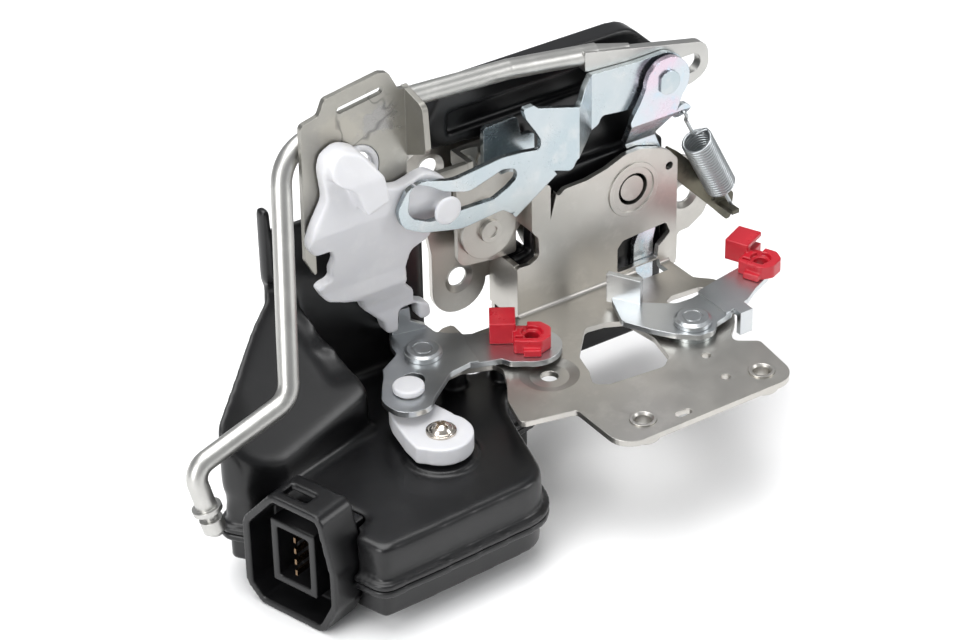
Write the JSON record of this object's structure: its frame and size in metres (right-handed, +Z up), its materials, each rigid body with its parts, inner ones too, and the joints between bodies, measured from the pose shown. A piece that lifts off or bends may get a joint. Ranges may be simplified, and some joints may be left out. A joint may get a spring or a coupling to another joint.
{
  "type": "vehicle door latch",
  "caption": "Door latch with a claw and pawl behind a shelf plate, layered locking levers, two bell cranks, a bent link rod and a plug-in electric lock actuator.",
  "frame": {"origin": "midway between the two lower screw holes, on the face that seats on the door end panel", "axes": "+X from the connector side to the spring side, +Y out of the face that seats on the door end panel, +Z up the claw wall"},
  "size_m": [0.2346, 0.0995, 0.1538],
  "materials": {
    "satin_steel": "satin pickled sheet steel",
    "zinc_steel": "bright zinc plate",
    "iris_zinc": "passivated zinc with a pink and blue sheen",
    "dark_steel": "dark phosphated steel",
    "black_plastic": "black moulded plastic",
    "white_nylon": "natural nylon",
    "red_plastic": "red moulded plastic",
    "nickel": "nickel plate",
    "copper": "copper alloy"
  },
  "bodies": {
    "latch_frame": {"face_plate": "satin_steel", "base_plate": "satin_steel", "latch_housing": "black_plastic", "lever_bracket": "satin_steel", "bracket_rivets": "satin_steel", "threaded_collars": "satin_steel", "claw_rivet": "satin_steel", "pawl_rivet": "satin_steel", "pawl_washer": "satin_steel", "lever_pin": "zinc_steel", "stop_bracket": "zinc_steel", "release_spring": "zinc_steel", "spring_anchor": "dark_steel", "crank_rivets": "zinc_steel", "crank_washers": "zinc_steel", "motor": "nickel", "actuator_case": "black_plastic", "actuator_cover": "black_plastic", "case_screws": "nickel", "plug_shroud": "black_plastic", "plug_pins": "copper"},
    "claw": {"claw": "dark_steel"},
    "pawl": {"pawl": "dark_steel"},
    "release_lever": {"release_lever": "iris_zinc"},
    "link_lever": {"link_lever": "zinc_steel"},
    "lock_lever": {"lock_lever": "white_nylon"},
    "bent_rod": {"bent_rod": "zinc_steel"},
    "lock_crank": {"lock_crank": "satin_steel"},
    "lock_rod_clip": {"lock_rod_clip": "red_plastic"},
    "handle_crank": {"handle_crank": "satin_steel"},
    "handle_rod_clip": {"handle_rod_clip": "red_plastic"},
    "output_drive": {"output_arm": "white_nylon", "arm_screw": "nickel", "output_shaft": "satin_steel", "sector_gear": "white_nylon"},
    "worm": {"worm": "copper"}
  },
  "joints": [
    {"name": "claw_turn", "type": "hinge", "parent": "latch_frame", "child": "claw", "pos_m": [0.012, -0.00575, 0.0225], "axis": [0, 1, 0], "range_deg": [0, 38], "stiffness_Nm_per_rad": 0.15, "springref_deg": -22.92},
    {"name": "pawl_turn", "type": "hinge", "parent": "latch_frame", "child": "pawl", "pos_m": [-0.0418, -0.00575, 0.0225], "axis": [0, 1, 0], "range_deg": [0, 12], "stiffness_Nm_per_rad": 0.1, "springref_deg": -20.05},
    {"name": "release_turn", "type": "hinge", "parent": "latch_frame", "child": "release_lever", "pos_m": [0.0213, -0.024, 0.063], "axis": [0, 1, 0], "range_deg": [0, 4.5], "stiffness_Nm_per_rad": 0.3, "springref_deg": -11.46, "deforming": ["release_spring"]},
    {"name": "link_turn", "type": "hinge", "parent": "latch_frame", "child": "link_lever", "pos_m": [0.0213, -0.0216, 0.063], "axis": [0, 1, 0], "range_deg": [-1.2, 0]},
    {"name": "lock_lever_turn", "type": "hinge", "parent": "latch_frame", "child": "lock_lever", "pos_m": [-0.096, -0.02, 0.0675], "axis": [0, 1, 0], "range_deg": [0, 3.6]},
    {"name": "rod_slide", "type": "slide", "parent": "latch_frame", "child": "bent_rod", "axis": [-1, 0, 0], "range_m": [0, 0.014]},
    {"name": "lock_crank_turn", "type": "hinge", "parent": "latch_frame", "child": "lock_crank", "pos_m": [-0.076, -0.0244, -0.008], "axis": [0, 0, 1], "range_deg": [0, 15.5]},
    {"name": "lock_clip_swivel", "type": "hinge", "parent": "lock_crank", "child": "lock_rod_clip", "pos_m": [-0.0434, -0.0394, -0.008], "axis": [0, 0, 1], "range_deg": [-8, 8]},
    {"name": "handle_crank_turn", "type": "hinge", "parent": "latch_frame", "child": "handle_crank", "pos_m": [0.007, -0.0597, -0.008], "axis": [0, 0, 1], "range_deg": [-12, 0]},
    {"name": "handle_clip_swivel", "type": "hinge", "parent": "handle_crank", "child": "handle_rod_clip", "pos_m": [0.0443, -0.048, -0.007], "axis": [0, 0, 1], "range_deg": [-8, 8]},
    {"name": "output_turn", "type": "hinge", "parent": "latch_frame", "child": "output_drive", "pos_m": [-0.0905, -0.0573, -0.021], "axis": [0, 0, 1], "range_deg": [-20, 0]},
    {"name": "worm_spin", "type": "hinge", "parent": "latch_frame", "child": "worm", "pos_m": [-0.1283, -0.0327, -0.0303], "axis": [0.9598, 0.2807, 0], "range_deg": [-1130, 0]}
  ],
  "couplings": [
    {"joint": "lock_crank_turn", "follows": "output_turn", "ratio": -0.77},
    {"joint": "lock_lever_turn", "follows": "output_turn", "ratio": -0.1765},
    {"joint": "link_turn", "follows": "output_turn", "ratio": 0.0535},
    {"joint": "worm_spin", "follows": "output_turn", "ratio": 56.25}
  ]
}
